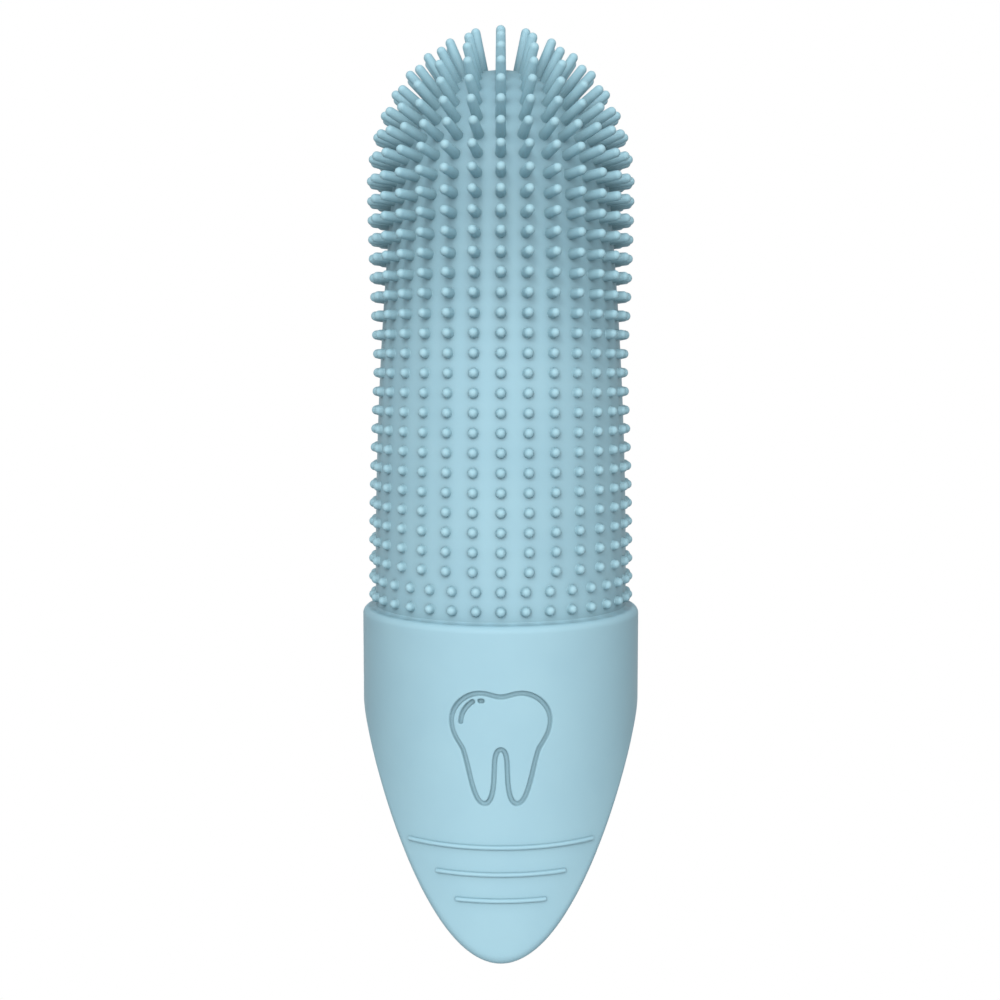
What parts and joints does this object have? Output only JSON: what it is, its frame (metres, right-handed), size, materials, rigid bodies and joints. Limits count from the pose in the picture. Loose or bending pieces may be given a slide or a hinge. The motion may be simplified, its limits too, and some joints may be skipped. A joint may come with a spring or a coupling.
{
  "type": "pet toothbrush",
  "caption": "Hollow silicone finger brush with a domed tip, rings of soft bristles all round, a thick collar at the mouth and a ribbed pull tab at the front.",
  "frame": {"origin": "centre of the sleeve's mouth, on the brush's long axis, in the plane of the collar's rear rim", "axes": "+Z along the long axis towards the domed tip; the pull tab hangs at the front, towards -Y; +X to the right of someone facing the tab"},
  "size_m": [0.025, 0.0253, 0.0806],
  "materials": {
    "sleeve_silicone": "matte moulded silicone",
    "bristle_silicone": "matte moulded silicone, thin and slightly translucent",
    "tab_silicone": "matte moulded silicone"
  },
  "bodies": {
    "sleeve": {"finger_sleeve": "sleeve_silicone", "collar": "sleeve_silicone", "bristle_crown": "bristle_silicone", "bristle_ring_01": "bristle_silicone", "bristle_ring_02": "bristle_silicone", "bristle_ring_03": "bristle_silicone", "bristle_ring_04": "bristle_silicone", "bristle_ring_05": "bristle_silicone", "bristle_ring_06": "bristle_silicone", "bristle_ring_07": "bristle_silicone", "bristle_ring_08": "bristle_silicone", "bristle_ring_09": "bristle_silicone", "bristle_ring_10": "bristle_silicone", "bristle_ring_11": "bristle_silicone", "bristle_ring_12": "bristle_silicone", "bristle_ring_13": "bristle_silicone", "bristle_ring_14": "bristle_silicone", "bristle_ring_15": "bristle_silicone", "bristle_ring_16": "bristle_silicone", "bristle_ring_17": "bristle_silicone", "bristle_ring_18": "bristle_silicone", "bristle_ring_19": "bristle_silicone", "bristle_ring_20": "bristle_silicone", "bristle_ring_21": "bristle_silicone", "bristle_ring_22": "bristle_silicone", "bristle_ring_23": "bristle_silicone", "bristle_ring_24": "bristle_silicone", "bristle_ring_25": "bristle_silicone", "bristle_ring_26": "bristle_silicone", "bristle_ring_27": "bristle_silicone", "bristle_ring_28": "bristle_silicone", "bristle_ring_29": "bristle_silicone", "bristle_ring_30": "bristle_silicone", "bristle_ring_31": "bristle_silicone"},
    "tab": {"pull_tab": "tab_silicone", "grip_rib_upper": "tab_silicone", "grip_rib_middle": "tab_silicone", "grip_rib_lower": "tab_silicone"}
  },
  "joints": [
    {"name": "tab_flex", "type": "hinge", "parent": "sleeve", "child": "tab", "pos_m": [0, -0.0117, -0.0078], "axis": [1, 0, 0], "range_deg": [-45, 15], "stiffness_Nm_per_rad": 0.004}
  ]
}
